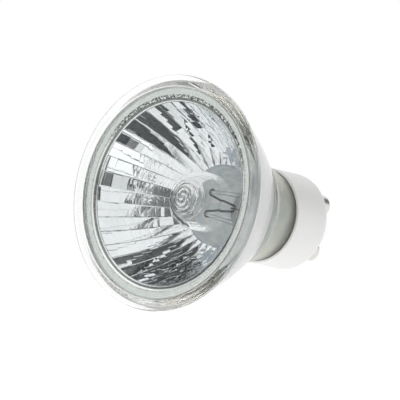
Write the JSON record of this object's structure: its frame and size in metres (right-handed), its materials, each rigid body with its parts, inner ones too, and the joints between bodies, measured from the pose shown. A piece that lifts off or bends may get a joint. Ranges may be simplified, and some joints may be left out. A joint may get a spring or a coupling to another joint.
{
  "type": "halogen reflector bulb",
  "caption": "Halogen spot bulb: faceted glass reflector with a clear cover, quartz capsule and folded filament, on a white ceramic base with headed contact pins.",
  "frame": {"origin": "on the lamp axis, in the flat end of the ceramic base where the contact pins come out", "axes": "+Y along the lamp axis from the face to the pins, +Z from the lower pin to the upper pin; the lit face looks along -Y"},
  "size_m": [0.0508, 0.054, 0.0508],
  "materials": {
    "mirrored_glass": "pressed glass, mirror coat on the faceted inside, clear rim",
    "cover_glass": "clear polished",
    "clear_bond": "grey-green silicone bond",
    "quartz": "clear fire-polished",
    "tungsten": "dull dark metal",
    "lead_wire": "drawn wire",
    "foil": "bright foil",
    "fuse_bead": "matt",
    "cement": "rough matt",
    "white_ceramic": "smooth satin white",
    "pin_metal": "nickel plated, slightly dull"
  },
  "bodies": {
    "root": {"reflector": "mirrored_glass", "front_glass": "cover_glass", "front_glass_adhesive": "clear_bond", "capsule_envelope": "quartz", "filament": "tungsten", "filament_support_rear": "tungsten", "filament_support_upper": "tungsten", "filament_support_lower": "tungsten", "lead_in_wire_upper": "lead_wire", "lead_in_wire_lower": "lead_wire", "seal_foil_upper": "foil", "seal_foil_lower": "foil", "outer_lead_upper": "lead_wire", "outer_lead_lower": "lead_wire", "lead_fuse": "fuse_bead", "capsule_cement": "cement", "base_cement": "cement", "ceramic_base": "white_ceramic", "contact_pin_upper": "pin_metal", "contact_pin_lower": "pin_metal"}
  },
  "joints": []
}
